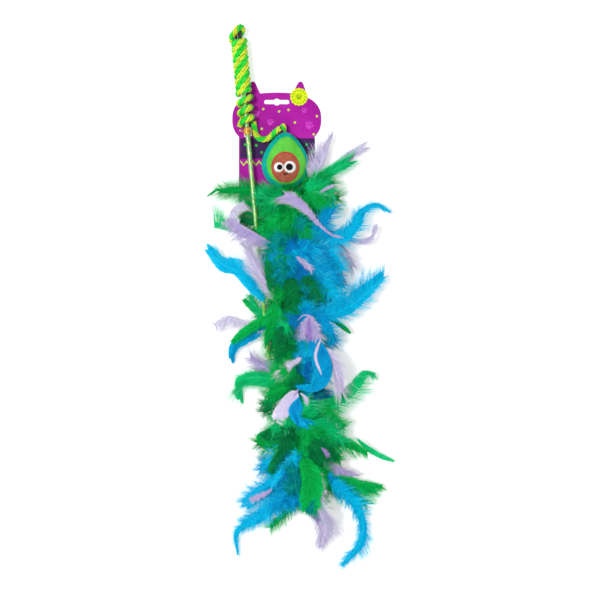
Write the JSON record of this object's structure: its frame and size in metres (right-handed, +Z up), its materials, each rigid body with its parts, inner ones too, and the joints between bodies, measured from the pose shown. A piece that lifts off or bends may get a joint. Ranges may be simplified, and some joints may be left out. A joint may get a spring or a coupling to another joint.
{
  "type": "cat teaser wand",
  "caption": "Cat teaser wand with a rope-wound handle, a stuffed avocado on a rope lead, a long feather boa and a hang card.",
  "frame": {"origin": "on the back face of the hang card, straight under the place where the twist tie holds the rod", "axes": "+Y along the wand's length to the handle, +X to the right as seen in the picture, +Z up from the surface that the card lies on"},
  "size_m": [0.2371, 0.6859, 0.0523],
  "materials": {
    "clear_tube": "clear, glossy extruded tube",
    "two_green_cord": "twisted cord in lime and green",
    "black_cap": "soft satin moulding",
    "tip_plug": "pale translucent plug",
    "two_green_rope": "two-strand twisted rope, green and lime, slight sheen",
    "twist_tie": "gold foil strip over wire",
    "printed_card": "magenta print on smooth board",
    "badge_paper": "yellow sticker",
    "teal_plush": "short-pile plush",
    "green_plush": "short-pile plush",
    "stuffing": "polyester fibre filling",
    "stone_plush": "printed plush patch",
    "eye_white": "sewn felt disc",
    "eye_black": "sewn felt disc",
    "core_cord": "twisted core cord",
    "down_green": "loose feather down",
    "feather_green": "dyed feathers",
    "feather_blue": "dyed feathers",
    "feather_lilac": "dyed feathers",
    "binding_thread": "wound thread"
  },
  "bodies": {
    "wand": {"rod_tube": "clear_tube", "rod_inner_cord": "two_green_cord", "handle_end_cap": "black_cap", "rod_tip_plug": "tip_plug", "hang_loop": "two_green_rope", "handle_winding": "two_green_rope", "lead_hitches": "two_green_rope", "lead_rope": "two_green_rope", "twist_tie": "twist_tie"},
    "card": {"header_card": "printed_card", "card_badge": "badge_paper"},
    "rope_end": {"lead_rope_end": "two_green_rope"},
    "avocado": {"avocado_back_panel": "teal_plush", "avocado_front_panel": "green_plush", "avocado_stuffing": "stuffing", "stone_patch": "stone_plush", "eye_left": "eye_white", "eye_right": "eye_white", "pupil_left": "eye_black", "pupil_right": "eye_black", "smile_patch": "eye_black", "collar_green_feathers": "feather_green", "collar_lilac_feathers": "feather_lilac"},
    "boa_link_1": {"boa_core_1": "core_cord", "boa_down_1": "down_green", "boa_green_1": "feather_green", "boa_blue_1": "feather_blue", "boa_lilac_1": "feather_lilac"},
    "boa_link_2": {"boa_core_2": "core_cord", "boa_down_2": "down_green", "boa_green_2": "feather_green", "boa_blue_2": "feather_blue", "boa_lilac_2": "feather_lilac"},
    "boa_link_3": {"boa_core_3": "core_cord", "boa_down_3": "down_green", "boa_green_3": "feather_green", "boa_blue_3": "feather_blue", "boa_lilac_3": "feather_lilac"},
    "boa_link_4": {"boa_core_4": "core_cord", "boa_down_4": "down_green", "boa_green_4": "feather_green", "boa_blue_4": "feather_blue", "boa_lilac_4": "feather_lilac"},
    "boa_link_5": {"boa_core_5": "core_cord", "boa_down_5": "down_green", "boa_green_5": "feather_green", "boa_blue_5": "feather_blue", "boa_lilac_5": "feather_lilac", "boa_end_binding": "binding_thread"}
  },
  "joints": [
    {"name": "card_swing", "type": "hinge", "parent": "wand", "child": "card", "pos_m": [0, 0, 0], "axis": [0, 0, 1], "range_deg": [-4, 4]},
    {"name": "toy_swing", "type": "hinge", "parent": "wand", "child": "rope_end", "pos_m": [0.0455, 0.0058, 0.0106], "axis": [0, 0, 1], "range_deg": [0, 60]},
    {"name": "toy_lift", "type": "hinge", "parent": "rope_end", "child": "avocado", "pos_m": [0.0475, 0.001, 0.0112], "axis": [-1, 0, 0], "range_deg": [0, 90]},
    {"name": "boa_bend_1", "type": "hinge", "parent": "avocado", "child": "boa_link_1", "pos_m": [0.051, -0.0758, 0.026], "axis": [0, 0, 1], "range_deg": [0, 12]},
    {"name": "boa_bend_2", "type": "hinge", "parent": "boa_link_1", "child": "boa_link_2", "pos_m": [0.05527, -0.15468, 0.026], "axis": [0, 0, 1], "range_deg": [0, 12]},
    {"name": "boa_bend_3", "type": "hinge", "parent": "boa_link_2", "child": "boa_link_3", "pos_m": [0.05954, -0.23357, 0.026], "axis": [0, 0, 1], "range_deg": [0, 15]},
    {"name": "boa_bend_4", "type": "hinge", "parent": "boa_link_3", "child": "boa_link_4", "pos_m": [0.06382, -0.31245, 0.026], "axis": [0, 0, 1], "range_deg": [-12, 18]},
    {"name": "boa_bend_5", "type": "hinge", "parent": "boa_link_4", "child": "boa_link_5", "pos_m": [0.06809, -0.39134, 0.026], "axis": [0, 0, 1], "range_deg": [-20, 20]}
  ]
}
